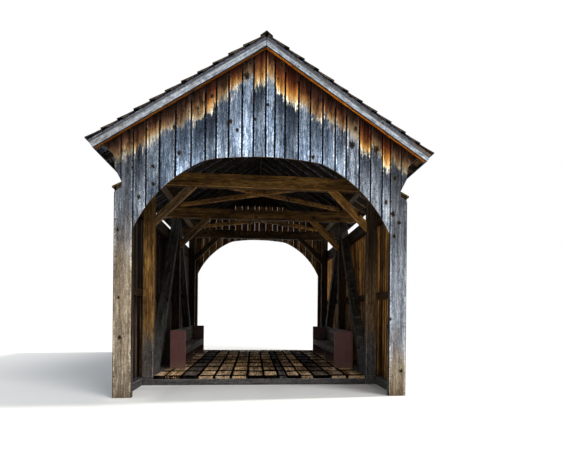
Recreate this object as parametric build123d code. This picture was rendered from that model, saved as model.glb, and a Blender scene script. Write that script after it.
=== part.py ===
from build123d import *
import os
from math import cos, radians, sin, sqrt, tan

# Small timber covered bridge on king-post trusses. Millimetres. X runs across the bridge, Y along it and
# Z up. The origin is on the centre line, halfway along, at the level where the portal legs meet the ground.
# Most pieces come in mirrored pairs: left is -X, right is +X, front is -Y and rear is +Y.

# Plan of the bridge
bay = 3640                      # centre to centre of neighbouring truss frames
portal_reach = 1640             # from the last frame's centre to the face of the portal boards
leg_width = 300                 # portal legs

# Boards
board = 25                      # wall boards and roof sheathing
deck_thick = 50
joint_gap = 4                   # open joint where two boards meet end to end

# Truss timbers
post = 200                      # square section of posts and inclined truss timbers
clear_half = 2080               # centre line to the inner face of the posts
chord_height = 170              # bottom chord, its top level with the deck
tie_bottom = 3855               # underside of the tie beams
tie_depth = 255
tie_half = 2500                 # centre line to the end of a tie beam
knee_reach = 795                # a knee brace's lower edge, along the post and along the tie
knee_depth = 150
knee_width = 100
brace_heel = 310                # end post's inner face to the upper edge of the inclined timber, on the chord
lateral_width = 100             # flat crossed braces that lie on the tie beams
lateral_depth = 100
lateral_setback = 150           # their ends stop this far from a frame's centre

# Side walls
rail_depth = 145                # rails between the posts and the wall boards
light_strip = 322               # ledge's inner edge up to the underside of the ties
top_rail_height = 283           # underside of the top rail to the ledge's inner edge
girt_bottom = 1705
girt_height = 130
sill_height = 140
ledge_run = 149                 # sloping ledge that caps the side boards, measured level
ledge_drop = 77                 # its fall from the inner to the outer edge
ledge_overhang = 33             # past the wall boards
ledge_thick = 25

# Floor
joist_width = 100
joists_per_bay = 4

# Roof
roof_pitch = 33.2               # degrees
heel_cut = 39                   # depth of the rafters' notch at the outer face of the wall plate
rafter_width = 50
rafter_depth = 127
rafter_spacing = 600
ridge_thick = 40
ridge_depth = 200
plate_width = 150
plate_height = 310
eave_overhang = 382             # wall face to the upper edge of the fascia, measured level
fascia_thick = 25
shake_overhang = 31             # past the fascia
shake_exposure = 300            # length of each course that shows
shake_bed = 25                  # thickness of the hidden layers
shake_butt = 31                 # thickness of a course at its lower edge
shake_reach = 20                # past the rake boards
sheathing_inset = 12            # ends of the sheathing, in from the face of the rake boards
cap_width = 80                  # ridge cap, along the slope
cap_thick = 25                  # at its lower edges
cap_crown = 46                  # on the centre line, measured upright

# Portals
spring_height = 2775            # where the arch leaves the legs
crown_drop = 80                 # from the top of the tie beams down to the crown of the arch
crown_radius = 5800             # flat top arc of the arch
crown_turn = 9                  # degrees turned by the top arc, each side
shoulder_radius = 360
shoulder_turn = 15              # degrees turned by the shoulder arc
notch_rise = 210                # slanting cut above the ledge, up from the ledge's inner edge
notch_inset = 10                # its upper end, in from the wall face
notch_play = 45                 # open part of the notch below the ledge
cheek_rise = 151                # upright edge between the slanting cut and the ogee
cheek_spread = 166              # how far the ogee leans out past the wall face
ogee_end_heading = (0.3, 1)     # direction of the ogee at its upper end
portal_stud = 100               # depth of the portal timbers along the bridge
jamb_width = 50
header_height = 150
rake_thick = 40                 # bargeboard
rake_depth = 117                # its lower edge stops above the fly rafter's
fly_thick = 60                  # rafter between the bargeboard and the portal boards

# Benches, one along each truss
bench_reach = 425               # inner face of the posts to the inner face of the end panels
bench_depths = {"left": 330, "right": 425}
bench_half_length = 2234
bench_support = -450            # Y of the middle support
bench_height = 835
seat_height = 450
seat_thick = 40
apron_height = 110
apron_thick = 25
panel_thick = 40
back_thick = 30

# Values worked out from the sizes above
portal_face = bay + portal_reach
portal_back = portal_face - board
post_outer = clear_half + post
wall_inner = post_outer + rail_depth
half_width = wall_inner + board
opening_half = half_width - leg_width
tie_top = tie_bottom + tie_depth
plate_top = tie_top + plate_height
plate_outer = clear_half + plate_width
frame_places = (-bay, 0, bay)
deck_half = bay + post / 2
roof_end = portal_face + fly_thick          # back of the bargeboards
slope_cos = cos(radians(roof_pitch))
slope_sin = sin(radians(roof_pitch))
slope_fall = tan(radians(roof_pitch))
ridge_height = plate_top - heel_cut + plate_outer * slope_fall + rafter_depth / slope_cos
eave_length = (half_width + eave_overhang) / slope_cos
rafter_length = eave_length - fascia_thick
ledge_high = (half_width + ledge_overhang - ledge_run, tie_bottom - light_strip)
ledge_low = (half_width + ledge_overhang, ledge_high[1] - ledge_drop)
top_rail_bottom = ledge_high[1] - top_rail_height
cheek_notch = (half_width - notch_inset, ledge_high[1] + notch_rise)
cheek_top = cheek_notch[1] + cheek_rise
apex_height = tie_top - crown_drop
sides = ("left", "right")


# Helpers that place simple timbers and drawn outlines
def timber(x, y, z):
    """Square-edged timber between two values of X, of Y and of Z."""
    size = Box(x[1] - x[0], y[1] - y[0], z[1] - z[0])
    return Pos((x[0] + x[1]) / 2, (y[0] + y[1]) / 2, (z[0] + z[1]) / 2) * size


def along(outline, y_low, y_high):
    """Solid that runs along the bridge, its outline drawn as X and Z."""
    plane = Plane(origin=(0, y_low, 0), x_dir=(1, 0, 0), z_dir=(0, -1, 0))
    return extrude(plane * outline, amount=y_high - y_low, dir=(0, 1, 0))


def across(points, x_low, x_high):
    """Solid that runs across the bridge, its outline given as points of Y and Z."""
    plane = Plane(origin=(x_low, 0, 0), x_dir=(0, 1, 0), z_dir=(1, 0, 0))
    return extrude(plane * Polygon(*points, align=None), amount=x_high - x_low)


def drawn(*points):
    """Face with straight edges through points of X and Z."""
    return Polygon(*points, align=None)


def to_side(side, piece):
    """A piece made for the right side, or its mirror image for the left one."""
    return piece if side == "right" else mirror(piece, about=Plane.YZ)


def both_sides(piece):
    return [piece, mirror(piece, about=Plane.YZ)]


def to_rear(piece):
    return mirror(piece, about=Plane.XZ)


def on_slope(down, up):
    """X and Z of a point on the right slope: down from the ridge, and up from the rafter tops."""
    return (down * slope_cos + up * slope_sin, ridge_height - down * slope_sin + up * slope_cos)


def slope_height(x, up=0):
    """Height above X of a line that lies 'up' from the rafter tops, square to the slope."""
    return ridge_height + up / slope_cos - x * slope_fall


def save(name, *solids):
    shape = solids[0] if len(solids) == 1 else Compound(children=list(solids))
    shape.label = name
    export_step(shape, f"parts/{name}.step")


# Trusses
def inclined_timber():
    """Front truss timber, from the chord beside the end post up to the king post under the tie."""
    heel_y = -bay + post / 2 + brace_heel
    top_y = -post / 2
    rise = tie_bottom - chord_height
    run = top_y - heel_y
    length = sqrt(rise * rise + run * run)
    foot_width = post * length / rise
    plumb_depth = post * length / run
    return across(
        [
            (heel_y, chord_height),
            (heel_y + foot_width, chord_height),
            (top_y, tie_bottom - plumb_depth),
            (top_y, tie_bottom),
        ],
        clear_half,
        post_outer,
    )


def knee_brace():
    """Right knee brace at 45 degrees, from the post's inner face up to the underside of the tie."""
    short_reach = knee_reach - knee_depth * sqrt(2)
    outline = drawn(
        (clear_half, tie_bottom - knee_reach),
        (clear_half, tie_bottom - short_reach),
        (clear_half - short_reach, tie_bottom),
        (clear_half - knee_reach, tie_bottom),
    )
    return along(outline, -knee_width / 2, knee_width / 2)


def make_trusses():
    chord = timber((clear_half, post_outer), (-deck_half, deck_half), (0, chord_height))
    save("bottom_chords", *both_sides(chord))
    names = {-bay: "front", 0: "middle", bay: "rear"}
    for place in frame_places:
        name = names[place]
        beam_y = (place - post / 2, place + post / 2)
        upright = timber((clear_half, post_outer), beam_y, (chord_height, tie_bottom))
        save("king_posts" if place == 0 else f"{name}_posts", *both_sides(upright))
        save(f"{name}_tie_beam", timber((-tie_half, tie_half), beam_y, (tie_bottom, tie_top)))
        save(f"{name}_knee_braces", *both_sides(Pos(0, place, 0) * knee_brace()))
    for side in sides:
        incline = to_side(side, inclined_timber())
        save(f"{side}_truss_braces", incline, to_rear(incline))


def crossed_braces():
    """Crossed flat braces of the front bay, trimmed to the wall plates and fused where they cross."""
    near = -bay + lateral_setback
    far = -lateral_setback
    middle = (near + far) / 2
    run = far - near
    length = sqrt(4 * clear_half * clear_half + run * run)
    turn = Vector(2 * clear_half, run, 0).get_signed_angle(Vector(1, 0, 0))
    bar = Box(length + 2 * lateral_width, lateral_width, lateral_depth)
    pair = Rot(0, 0, turn) * bar + Rot(0, 0, -turn) * bar
    trim = Box(2 * clear_half, 2 * run, lateral_depth)
    return Pos(0, middle, tie_top + lateral_depth / 2) * (pair & trim)


# Floor
def make_floor():
    inner = (-clear_half, clear_half)
    deck_bottom = chord_height - deck_thick
    save("deck", timber(inner, (-deck_half, deck_half), (deck_bottom, chord_height)))
    pitch = bay / joists_per_bay
    first = -deck_half + joist_width / 2
    places = [first] + [step * pitch for step in range(1 - joists_per_bay, joists_per_bay)] + [-first]
    joists = [
        timber(inner, (place - joist_width / 2, place + joist_width / 2), (0, deck_bottom))
        for place in places
    ]
    save("floor_joists", *joists)


# Side walls
def ledge_height(x, below=0):
    """Height above X of the ledge's top, or of a line that lies square below it."""
    fall = ledge_drop / ledge_run
    return ledge_high[1] - (x - ledge_high[0]) * fall - below * sqrt(1 + fall * fall)


def make_ledge():
    outline = drawn(
        ledge_high,
        ledge_low,
        (ledge_low[0], ledge_height(ledge_low[0], ledge_thick)),
        (ledge_high[0], ledge_height(ledge_high[0], ledge_thick)),
    )
    return along(outline, -portal_face, portal_face)


def make_side_walls(ledge):
    rail_y = (-portal_back + portal_stud, portal_back - portal_stud)
    sill = timber((post_outer, wall_inner), rail_y, (0, sill_height))
    girt = timber((post_outer, wall_inner), rail_y, (girt_bottom, girt_bottom + girt_height))
    rail_outline = drawn(
        (post_outer, top_rail_bottom),
        (wall_inner, top_rail_bottom),
        (wall_inner, ledge_height(wall_inner, ledge_thick)),
        (ledge_high[0], ledge_height(ledge_high[0], ledge_thick)),
        (post_outer, ledge_height(ledge_high[0], ledge_thick)),
    )
    top_rail = along(rail_outline, *rail_y)
    siding_outline = drawn(
        (wall_inner, 0),
        (half_width, 0),
        (half_width, ledge_height(half_width, ledge_thick)),
        (wall_inner, ledge_height(wall_inner, ledge_thick)),
    )
    siding = along(siding_outline, -portal_back, portal_back)
    for side in sides:
        save(f"{side}_wall_rails", to_side(side, sill), to_side(side, girt), to_side(side, top_rail))
        save(f"{side}_wall_siding", to_side(side, siding))
        save(f"{side}_wall_ledge", to_side(side, ledge))


# Portals
def arch_edges():
    """Right half of the arch, from the crown down to its sharp springing, as three tangent arcs."""
    full_turn = crown_turn + shoulder_turn
    level, tilted, steep = [
        (cos(radians(turn)), -sin(radians(turn))) for turn in (0, crown_turn, full_turn)
    ]
    crown = (0, apex_height)
    crown_end = (
        -crown_radius * tilted[1],
        apex_height - crown_radius * (1 - tilted[0]),
    )
    shoulder_end = (
        crown_end[0] + shoulder_radius * (tilted[1] - steep[1]),
        crown_end[1] - shoulder_radius * (tilted[0] - steep[0]),
    )
    spring = (opening_half, spring_height)
    return [
        TangentArc(crown, crown_end, tangent=level),
        TangentArc(crown_end, shoulder_end, tangent=tilted),
        TangentArc(shoulder_end, spring, tangent=steep),
    ]


def portal_outline():
    """Right half of the portal boards: arch, leg, ledge notch, ogee cheek and roof line."""
    notch_below = ledge_thick + notch_play
    ogee_x = half_width + cheek_spread
    ogee_end = (ogee_x, slope_height(ogee_x, -rafter_depth))
    edges = arch_edges()
    edges += Polyline(
        (opening_half, spring_height),
        (opening_half, 0),
        (half_width, 0),
        (half_width, ledge_height(half_width, notch_below)),
        (ledge_high[0], ledge_height(ledge_high[0], notch_below)),
        ledge_high,
        cheek_notch,
        (half_width, cheek_top),
    ).edges()
    edges.append(Spline((half_width, cheek_top), ogee_end, tangents=[(0, 1), ogee_end_heading]))
    edges += Polyline(
        ogee_end,
        (ogee_x, slope_height(ogee_x)),
        (0, ridge_height),
        (0, apex_height),
    ).edges()
    return make_face(edges)


def portal_frame():
    """Timbers behind the front portal boards: a jamb and a corner post each side, and a header.

    The corner post carries the end of the ledge. Above it the post narrows to the ledge's inner edge.
    """
    stud_y = (-portal_back, -portal_back + portal_stud)
    jamb = timber((opening_half, opening_half + jamb_width), stud_y, (0, tie_top))
    corner_outline = drawn(
        (post_outer, 0),
        (wall_inner, 0),
        (wall_inner, ledge_height(wall_inner, ledge_thick)),
        (ledge_high[0], ledge_height(ledge_high[0], ledge_thick)),
        (ledge_high[0], slope_height(ledge_high[0], -rafter_depth)),
        (post_outer, slope_height(post_outer, -rafter_depth)),
    )
    corner = along(corner_outline, *stud_y)
    header = timber((-clear_half, clear_half), stud_y, (tie_top, tie_top + header_height))
    return [*both_sides(jamb), *both_sides(corner), header]


def make_portals():
    half = portal_outline()
    outline = half + mirror(half, about=Plane.YZ)
    siding = along(outline, -portal_face, -portal_back)
    frame = portal_frame()
    save("front_portal_siding", siding)
    save("front_portal_frame", *frame)
    save("rear_portal_siding", to_rear(siding))
    save("rear_portal_frame", *[to_rear(piece) for piece in frame])


# Roof
def slope_board(start, down, low, high):
    """Outline of a board on the right slope: plumb cut at X = start, square cut at its lower end."""
    return drawn(
        (start, slope_height(start, low)),
        on_slope(down, low),
        on_slope(down, high),
        (start, slope_height(start, high)),
    )


def make_rafters(plate):
    outline = slope_board(ridge_thick / 2, rafter_length, -rafter_depth, 0)
    span = 2 * portal_back - rafter_width
    count = round(span / rafter_spacing)
    rafter = along(outline, -portal_back, -portal_back + rafter_width) - plate
    rafters = [Pos(0, step * span / count, 0) * rafter for step in range(count + 1)]
    for side in sides:
        save(f"{side}_rafters", *[to_side(side, piece) for piece in rafters])
    ridge_side = slope_height(ridge_thick / 2)
    ridge_outline = drawn(
        (-ridge_thick / 2, ridge_side - ridge_depth),
        (ridge_thick / 2, ridge_side - ridge_depth),
        (ridge_thick / 2, ridge_side),
        (0, ridge_height),
        (-ridge_thick / 2, ridge_side),
    )
    save("ridge_board", along(ridge_outline, -portal_back, portal_back))


def shake_outline():
    """Courses of thick shakes on the right slope: each tapers up to the butt of the course above."""
    tip = eave_length + shake_overhang
    thin = board + shake_bed
    thick = thin + shake_butt
    points = [(0, slope_height(0, board)), on_slope(tip, board)]
    for course in range(int(tip // shake_exposure)):
        butt = tip - course * shake_exposure
        points += [on_slope(butt, thick), on_slope(butt - shake_exposure, thin)]
    points.append((0, slope_height(0, thin)))
    return drawn(*points)


def cap_outline():
    """Right half of the ridge cap, which lies on the heads of the last course of shakes."""
    bed = board + shake_bed
    middle = slope_height(0, bed)
    return drawn(
        (0, middle),
        on_slope(cap_width, bed),
        on_slope(cap_width, bed + cap_thick),
        (0, middle + cap_crown),
    )


def make_roof():
    sheathing_end = roof_end + rake_thick - sheathing_inset
    sheathing = along(slope_board(0, eave_length, 0, board), -sheathing_end, sheathing_end)
    shake_end = roof_end + rake_thick + shake_reach
    shakes = along(shake_outline(), -shake_end, shake_end)
    for side in sides:
        save(f"{side}_roof_sheathing", to_side(side, sheathing))
        save(f"{side}_roof_shakes", to_side(side, shakes))
    half_cap = cap_outline()
    cap = half_cap + mirror(half_cap, about=Plane.YZ)
    save("ridge_cap", along(cap, -shake_end, shake_end))

    rake_outline = slope_board(joint_gap / 2, eave_length, -rake_depth, 0)
    rake = along(rake_outline, -roof_end - rake_thick, -roof_end)
    save("front_rake_boards", *both_sides(rake))
    save("rear_rake_boards", *both_sides(to_rear(rake)))

    fly_outline = slope_board(joint_gap / 2, rafter_length, -rafter_depth, 0)
    fly = along(fly_outline, -roof_end, -portal_face)
    save("fly_rafters", *both_sides(fly), *both_sides(to_rear(fly)))

    fascia_outline = drawn(
        on_slope(rafter_length, -rafter_depth),
        on_slope(eave_length, -rafter_depth),
        on_slope(eave_length, 0),
        on_slope(rafter_length, 0),
    )
    save("eave_fascias", *both_sides(along(fascia_outline, -roof_end, roof_end)))


# Benches
def make_bench(side):
    inner = clear_half - bench_reach
    outer = inner + bench_depths[side]
    top = chord_height + bench_height
    seat_top = chord_height + seat_height
    seat_bottom = seat_top - seat_thick
    apron_bottom = seat_bottom - apron_height
    apron_back = inner + apron_thick
    seat_y = (-bench_half_length + panel_thick, bench_half_length - panel_thick)
    back_front = outer - back_thick

    front_end = timber((inner, outer), (-bench_half_length, seat_y[0]), (chord_height, top))
    support_y = (bench_support - panel_thick / 2, bench_support + panel_thick / 2)
    support = timber((apron_back, back_front), support_y, (chord_height, seat_bottom))
    pieces = {
        "ends": [front_end, to_rear(front_end), support],
        "seat": [timber((inner, back_front), seat_y, (seat_bottom, seat_top))],
        "apron": [timber((inner, apron_back), seat_y, (apron_bottom, seat_bottom))],
        "back": [timber((back_front, outer), seat_y, (apron_bottom, top))],
    }
    for name, solids in pieces.items():
        save(f"{side}_bench_{name}", *[to_side(side, solid) for solid in solids])


def make_plates_and_braces(plate):
    for side in sides:
        save(f"{side}_wall_plate", to_side(side, plate))
    braces = crossed_braces()
    save("front_lateral_braces", braces)
    save("rear_lateral_braces", to_rear(braces))


os.makedirs("parts", exist_ok=True)
wall_plate = timber((clear_half, plate_outer), (-portal_back, portal_back), (tie_top, plate_top))
wall_ledge = make_ledge()
make_trusses()
make_plates_and_braces(wall_plate)
make_floor()
make_side_walls(wall_ledge)
make_portals()
make_rafters(wall_plate)
make_roof()
for side in sides:
    make_bench(side)
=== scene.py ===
"""Looks for the covered bridge: worn timbers, separate boards, planks and shakes, and the photo's view."""

import math
import random

import bmesh
import bpy
from mathutils import Matrix, Vector, noise


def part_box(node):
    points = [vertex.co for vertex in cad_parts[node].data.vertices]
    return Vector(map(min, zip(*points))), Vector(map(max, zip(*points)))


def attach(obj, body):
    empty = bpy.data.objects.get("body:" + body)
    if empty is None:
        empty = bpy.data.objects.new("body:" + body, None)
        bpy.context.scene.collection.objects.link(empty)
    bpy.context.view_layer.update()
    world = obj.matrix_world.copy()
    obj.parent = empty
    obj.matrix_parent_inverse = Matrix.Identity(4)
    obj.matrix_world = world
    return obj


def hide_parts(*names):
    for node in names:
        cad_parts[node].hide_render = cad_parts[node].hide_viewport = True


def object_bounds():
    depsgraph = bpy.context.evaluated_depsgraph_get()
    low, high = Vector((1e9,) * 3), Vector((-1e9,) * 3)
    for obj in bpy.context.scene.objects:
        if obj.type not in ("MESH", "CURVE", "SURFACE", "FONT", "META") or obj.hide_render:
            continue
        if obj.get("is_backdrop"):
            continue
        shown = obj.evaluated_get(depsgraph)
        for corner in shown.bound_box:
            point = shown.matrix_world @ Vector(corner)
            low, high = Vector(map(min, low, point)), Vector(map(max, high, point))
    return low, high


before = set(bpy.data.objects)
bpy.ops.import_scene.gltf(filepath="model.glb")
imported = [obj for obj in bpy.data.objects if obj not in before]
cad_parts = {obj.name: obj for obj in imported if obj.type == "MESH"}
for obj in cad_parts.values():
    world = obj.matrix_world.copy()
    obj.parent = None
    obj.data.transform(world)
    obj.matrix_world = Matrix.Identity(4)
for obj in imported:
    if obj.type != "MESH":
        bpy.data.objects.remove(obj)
cad_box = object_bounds()

# Real sizes in metres, in the frame's own axes: X across the bridge, Y along it, Z up.
HALF_WIDTH = 2.450
HALF_OPENING = 2.150
BOARD = 0.025
FACE = 5.280
ROOF_REACH = 5.400
RIDGE = 5.992
PITCH = math.radians(33.2)
WALL_INNER = 2.425
WALL_HALF_LENGTH = 5.255
CHEEK_SEAM = 2.334
SHEATHING = 0.025
EAVE = 3.3845
SHAKE_TIP = 3.416
EXPOSURE = 0.300
COURSES = 11
SHAKE_BED = 0.050
SHAKE_TOP = 0.081
SHAKE_HIDDEN = 0.220
SHAKE_COLUMNS = 4
CAP_MIDDLE = 6.060
CAP_EDGE = 5.973
CAP_REACH = 0.108
CAP_LIFT = 0.006
CAP_COUNT = 34
DECK_TOP = 0.170
DECK_THICK = 0.050
DECK_HALF_LENGTH = 3.740
JOIST_SPACING = 0.910

SEED = 11
chance = random.Random(SEED)
noise.seed_set(SEED)


# Shaders

def paint(code):
    """A linear colour from the six hexadecimal digits of a screen colour."""
    values = [int(code[i:i + 2], 16) / 255 for i in (0, 2, 4)]
    return [v / 12.92 if v <= 0.04045 else ((v + 0.055) / 1.055) ** 2.4 for v in values] + [1.0]


def arithmetic(operation, swapped=False):
    """A method of Signal that adds one math node."""
    def method(self, other=0.0):
        a, b = (other, self) if swapped else (self, other)
        return self.shader.math(operation, a, b)
    return method


class Signal:
    """A number that changes over the surface. Its arithmetic adds nodes to the shader."""

    def __init__(self, shader, socket):
        self.shader, self.socket = shader, socket

    __add__, __radd__ = arithmetic("ADD"), arithmetic("ADD", True)
    __sub__, __rsub__ = arithmetic("SUBTRACT"), arithmetic("SUBTRACT", True)
    __mul__, __rmul__ = arithmetic("MULTIPLY"), arithmetic("MULTIPLY", True)
    __truediv__, __abs__ = arithmetic("DIVIDE"), arithmetic("ABSOLUTE")
    at_least, at_most = arithmetic("MAXIMUM"), arithmetic("MINIMUM")
    above, under = arithmetic("GREATER_THAN"), arithmetic("LESS_THAN")
    sign, floor, pingpong = arithmetic("SIGN"), arithmetic("FLOOR"), arithmetic("PINGPONG")

    def span(self, low, high, to_low=0.0, to_high=1.0):
        """The signal carried smoothly from the range low to high to the range to_low to to_high."""
        inputs = {"Value": self, "From Min": low, "From Max": high, "To Min": to_low, "To Max": to_high}
        made = self.shader.node("MapRange", inputs, interpolation_type="SMOOTHSTEP")
        return Signal(self.shader, made.outputs[0])

    def between(self, to_low, to_high):
        """The signal, which runs from 0 to 1, carried smoothly to the range to_low to to_high."""
        return self.span(0.0, 1.0, to_low, to_high)


class Shader:
    """A new material, and short calls that add its nodes."""

    def __init__(self, name):
        self.material = bpy.data.materials.new(name)
        self.material.use_nodes = True
        self.tree = self.material.node_tree
        self.surface = self.tree.nodes["Principled BSDF"]

    def put(self, socket, value):
        value = value.socket if isinstance(value, Signal) else value
        if isinstance(value, bpy.types.NodeSocket):
            self.tree.links.new(value, socket)
        else:
            socket.default_value = value

    def node(self, kind, inputs=None, **settings):
        made = self.tree.nodes.new("ShaderNode" + kind)
        for key, value in settings.items():
            setattr(made, key, value)
        for key, value in (inputs or {}).items():
            self.put(made.inputs[key], value)
        return made

    def math(self, operation, a, b=0.0):
        made = self.node("Math", {0: a, 1: b}, operation=operation)
        return Signal(self, made.outputs[0])

    def attribute(self, name):
        return self.node("Attribute", attribute_name=name).outputs["Vector"]

    def parts(self, vector):
        return [Signal(self, out) for out in self.node("SeparateXYZ", {"Vector": vector}).outputs]

    def vector(self, x, y, z):
        return self.node("CombineXYZ", {"X": x, "Y": y, "Z": z}).outputs[0]

    def length(self, x, y):
        vector = self.vector(x, y, 0.0)
        return Signal(self, self.node("VectorMath", {0: vector}, operation="LENGTH").outputs["Value"])

    def place(self):
        """Where the point lies in the frame, as three signals."""
        return self.parts(self.node("TexCoord").outputs["Object"])

    def facing(self, axis):
        """How far the surface looks along that axis."""
        return self.parts(self.node("NewGeometry").outputs["Normal"])[axis]

    def noise(self, vector, scale, detail=2.0, rough=0.5):
        inputs = {"Vector": vector, "Scale": scale, "Detail": detail, "Roughness": rough}
        return Signal(self, self.node("TexNoise", inputs).outputs[0])

    def ramp(self, factor, positions, codes):
        """Screen colours at those positions of factor, and their blends between."""
        made = self.node("ValToRGB", {"Fac": factor})
        elements = made.color_ramp.elements
        while len(elements) < len(positions):
            elements.new(1.0)
        for element, position, code in zip(elements, positions, codes.split()):
            element.position = position
            element.color = paint(code)
        return made.outputs["Color"]

    def mix(self, factor, a, b):
        """Colour a where factor is 0 and b where it is 1. Either may be a screen colour's digits."""
        made = self.node("Mix", data_type="RGBA")
        for index, value in ((0, factor), (6, a), (7, b)):
            self.put(made.inputs[index], paint(value) if isinstance(value, str) else value)
        return made.outputs[2]

    def scale(self, colour, *factors):
        """colour made darker or lighter by each factor in turn."""
        for factor in factors:
            inputs = {"Vector": colour, "Scale": factor}
            colour = self.node("VectorMath", inputs, operation="SCALE").outputs["Vector"]
        return colour

    def relief(self, height, distance):
        return self.node("Bump", {"Height": height, "Distance": distance, "Strength": 1.0}).outputs[0]

    def finish(self, colour, roughness, normal, specular):
        for key, value in (("Base Color", colour), ("Roughness", roughness), ("Normal", normal),
                           ("Specular IOR Level", specular)):
            self.put(self.surface.inputs[key], value)
        return self.material


class Wood(Shader):
    """A shader with the marks that all the woods share: fibres, streaks, blotches, checks and knots."""

    def __init__(self, name, knot_size=0.036, knot_share=0.40):
        super().__init__(name)
        across, depth, along = self.parts(self.attribute("grain"))
        self.along = along
        self.pale, self.warm, self.hue = self.parts(self.attribute("tone"))
        self.stain, self.jag, self.tan = self.parts(self.attribute("mark"))
        self.weather, self.inward, self.worn = self.parts(self.attribute("look"))
        self.place_x, self.place_y, self.place_z = self.place()

        flat = self.vector(across + depth, along * 0.65, 0.0)
        density = 2.7
        cells = self.node("TexVoronoi", {"Vector": flat, "Scale": density}, voronoi_dimensions="2D").outputs
        away = self.node("VectorMath", {0: flat, 1: cells["Position"]}, operation="SUBTRACT").outputs[0]
        luck = self.parts(cells["Color"])[0]
        distance = self.noise(flat, 60.0) * 0.016 + Signal(self, cells["Distance"]) / density
        radius = (luck - (1.0 - knot_share)) * (knot_size / knot_share) + 0.008
        there = luck.above(1.0 - knot_share)
        self.knot, self.knot_heart, self.knot_rim, self.knot_halo = [
            part * there for part in self.knot_parts(distance / radius)]
        bend = distance.span(0.12, 0.0, 0.0, 0.8) * there
        across = across - self.parts(away)[0] * bend

        def drawn_out(stretch, scale, detail, rough, spread):
            """A noise drawn out along the fibres, its values spread wider about the middle."""
            spot = self.vector(across, depth, along * stretch)
            return self.noise(spot, scale, detail, rough) * spread - (0.5 * spread - 0.5)

        self.broad = drawn_out(0.06, 14.0, 3.0, 0.6, 2.2)
        self.streak = drawn_out(0.03, 62.0, 3.0, 0.65, 2.2)
        self.fine = drawn_out(0.02, 320.0, 2.0, 0.5, 1.8)
        self.patch = drawn_out(0.30, 4.0, 3.0, 0.55, 2.0)
        self.speck = drawn_out(0.45, 70.0, 3.0, 0.7, 2.2)
        self.mottle = drawn_out(0.20, 42.0, 3.0, 0.72, 2.4)
        self.pins = self.noise(self.vector(across, depth, along * 0.6), 26.0, 1.0).span(0.67, 0.73)
        check = self.noise(self.vector(across, depth, along * 0.012), 42.0, 1.0)
        where = self.noise(self.vector(across, depth, along), 3.0, 1.0).span(0.50, 0.60)
        self.check = abs(check - 0.5).span(0.011, 0.002) * where

    def knot_parts(self, inside):
        """A knot's wood, heart, dark rim and halo, by the distance from its middle in radii."""
        rim = abs(inside - 0.92).span(0.30, 0.05)
        return inside.span(1.0, 0.8), inside.span(0.62, 0.40), rim, inside.span(2.4, 0.9)

    def add_knots(self, knots, where):
        """Knots at chosen places (x, z) with their radius, where the second signal is 1."""
        far = 9.0
        found = far
        for x, z, radius in knots:
            away = self.length(self.place_x - x, (self.place_z - z) * 0.8)
            found = (away / radius).at_most(found)
        ragged = self.noise(self.vector(self.place_x, self.place_z * 0.4, 0.0), 48.0)
        found = ragged * 2.2 - 1.1 + (found + (where * -far + far))
        for name, part in zip(("knot", "knot_heart", "knot_rim", "knot_halo"), self.knot_parts(found)):
            setattr(self, name, part.at_least(getattr(self, name)))

    def below_roof(self):
        """How far the point lies below the rafters' tops, measured upright."""
        return RIDGE - (self.place_z + abs(self.place_x) * math.tan(PITCH))

    def fibre_mix(self, broad=0.22, streak=0.33, fine=0.15, mottle=0.30):
        """One signal of the fibres, from its coarse to its fine part."""
        return self.broad * broad + self.streak * streak + self.mottle * mottle + self.fine * fine

    def marked(self, colour, core="3a2818", halo="4d4030", halo_share=0.35):
        """colour with the knots, their dark rims and the drying checks drawn on it."""
        for part, share, code in ((self.knot_halo, halo_share, halo), (self.knot, 0.90, core),
                                  (self.knot_heart, 0.85, "0d0906"), (self.knot_rim, 0.80, "110c08")):
            colour = self.mix(part * share, colour, code)
        return self.mix(self.check * 0.75, colour, self.scale(colour, 0.15))

    def wood_relief(self, depth=0.0016):
        """The normal of weathered wood: raised fibres, sunk checks, and knots that stand a little proud."""
        fibres = self.fibre_mix(0.15, 0.40, 0.30, 0.15) * 0.6
        return self.relief(fibres + self.check * -0.9 + self.knot * 0.35, depth)

    def wood_finish(self, colour, depth=0.0016, rough=(0.72, 0.95), specular=0.12):
        roughness = self.fibre_mix().span(0.35, 0.65, rough[1], rough[0])
        return self.finish(colour, roughness, self.wood_relief(depth), specular)


def inner_brown(wood):
    """The golden brown of wood that rain doesn't reach."""
    fibres = wood.fibre_mix()
    golden = wood.ramp(fibres, (0.25, 0.42, 0.55, 0.68, 0.85), "271a0a 483114 63461f 7f5e2d a58045")
    red = wood.ramp(fibres, (0.25, 0.50, 0.80), "2a170c 6a4425 99683d")
    return wood.scale(wood.mix(wood.hue, golden, red), wood.patch.span(0.2, 0.8, 0.65, 1.3))


def warm_zone(wood, below, reach):
    """The part of a portal board that the roof shelters: dark brown at the top, deepened there by painted
    shade under the rake, then orange or dull brown, then tan.
    """
    depth = (wood.patch - 0.5) * 0.42 + (below - 0.16) / (reach - 0.16)
    depth = (wood.broad - 0.5) * 0.22 + depth
    # partly painted shade: the darkest browns at the top of both ramps are the wood's own colour and also the
    # shade under the rake
    orange = wood.ramp(depth, (0.0, 0.30, 0.50, 0.67, 0.82, 0.93, 1.0),
                       "1e0b05 421c0d 6f3d1a a36d30 cda064 e2cb9f e8dfca")
    dull = wood.ramp(depth, (0.0, 0.34, 0.60, 0.84, 1.0), "1d120c 3d2b20 6b543f 9a8466 bfb19a")
    smoke = wood.noise(wood.vector(wood.place_x, 0.0, wood.along * 0.30), 15.0, 3.0, 0.6)
    smoke = smoke.span(0.36, 0.56, 0.38, 1.05).at_least(wood.hue.span(0.2, 1.0))
    glow = wood.scale(wood.mix(wood.hue, dull, orange), wood.hue.between(0.80, 1.05) * smoke,
                      wood.fibre_mix(0.25, 0.30, 0.1, 0.35).span(0.25, 0.75, 0.50, 1.45))
    return wood.mix(wood.pins * 0.8, glow, "20130b")


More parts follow.
